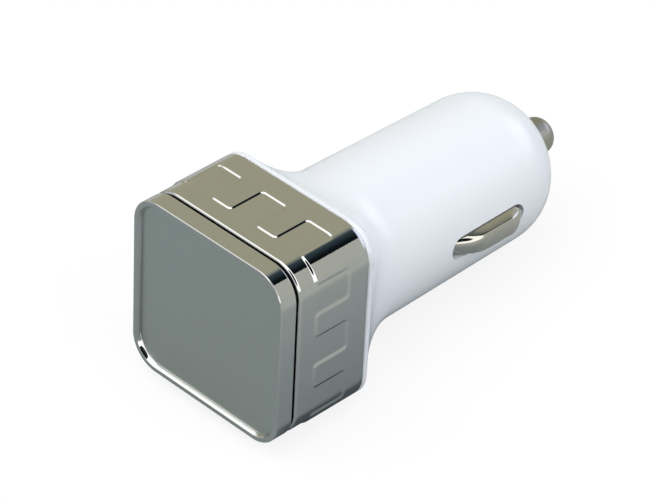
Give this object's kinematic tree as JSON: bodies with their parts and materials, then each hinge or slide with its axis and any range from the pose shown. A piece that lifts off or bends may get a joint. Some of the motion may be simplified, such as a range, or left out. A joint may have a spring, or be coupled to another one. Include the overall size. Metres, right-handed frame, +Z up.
{
  "type": "car usb charger plug",
  "caption": "Plug for a car's power socket: square chrome head with a pull-off cover over the ports, and a round white barrel with sprung side contacts and tip.",
  "frame": {"origin": "on the plug's axis, at the shoulder where the square head ends and the neck begins", "axes": "+Y along the plug from head to tip, the way it goes into the socket; +X right seen from the front; +Z up, with the plug lying on one side of its head"},
  "size_m": [0.0256, 0.0597, 0.0256],
  "materials": {
    "white_body": "gloss",
    "plated_ring": "polished",
    "plated_cover": "polished",
    "plate": "satin",
    "panel": "satin",
    "nickel": "polished",
    "spring_steel": "satin",
    "brass_terminal": "satin",
    "board": "satin",
    "port_steel": "polished",
    "tongue": "satin",
    "gilt": "polished",
    "chip_black": "matte",
    "chip_tan": "satin",
    "ferrite": "matte",
    "copper": "gloss",
    "can": "satin"
  },
  "bodies": {
    "plug": {"port_panel": "panel", "trim_ring": "plated_ring", "body_shell": "white_body", "tip_spring": "spring_steel", "spring_terminal": "brass_terminal", "circuit_board": "board", "usb_shell_upper": "port_steel", "usb_shell_lower": "port_steel", "usb_tongue_upper": "tongue", "usb_tongue_lower": "tongue", "usb_strips_upper": "gilt", "usb_strips_lower": "gilt", "converter_chip": "chip_black", "inductor_core": "ferrite", "inductor_winding": "copper", "input_capacitor": "can", "output_capacitor": "can", "rectifier_diode": "chip_black", "chip_resistors": "chip_black", "chip_capacitors": "chip_tan"},
    "cover": {"front_frame": "plated_cover", "front_plate": "plate"},
    "tip": {"tip_contact": "nickel"},
    "contact_right": {"side_contact_right": "nickel"},
    "contact_left": {"side_contact_left": "nickel"}
  },
  "joints": [
    {"name": "cover_pull", "type": "slide", "parent": "plug", "child": "cover", "axis": [0, -1, 0], "range_m": [0, 0.012]},
    {"name": "tip_press", "type": "slide", "parent": "plug", "child": "tip", "axis": [0, -1, 0], "range_m": [0, 0.002], "stiffness_N_per_m": 600, "springref_m": -0.002, "deforming": ["tip_spring"]},
    {"name": "contact_right_press", "type": "hinge", "parent": "plug", "child": "contact_right", "pos_m": [0.0079, 0.013, 0], "axis": [0, 0, 1], "range_deg": [0, 6.5], "stiffness_Nm_per_rad": 0.6, "springref_deg": -1.15},
    {"name": "contact_left_press", "type": "hinge", "parent": "plug", "child": "contact_left", "pos_m": [-0.0079, 0.013, 0], "axis": [0, 0, -1], "range_deg": [0, 6.5], "stiffness_Nm_per_rad": 0.6, "springref_deg": -1.15}
  ]
}
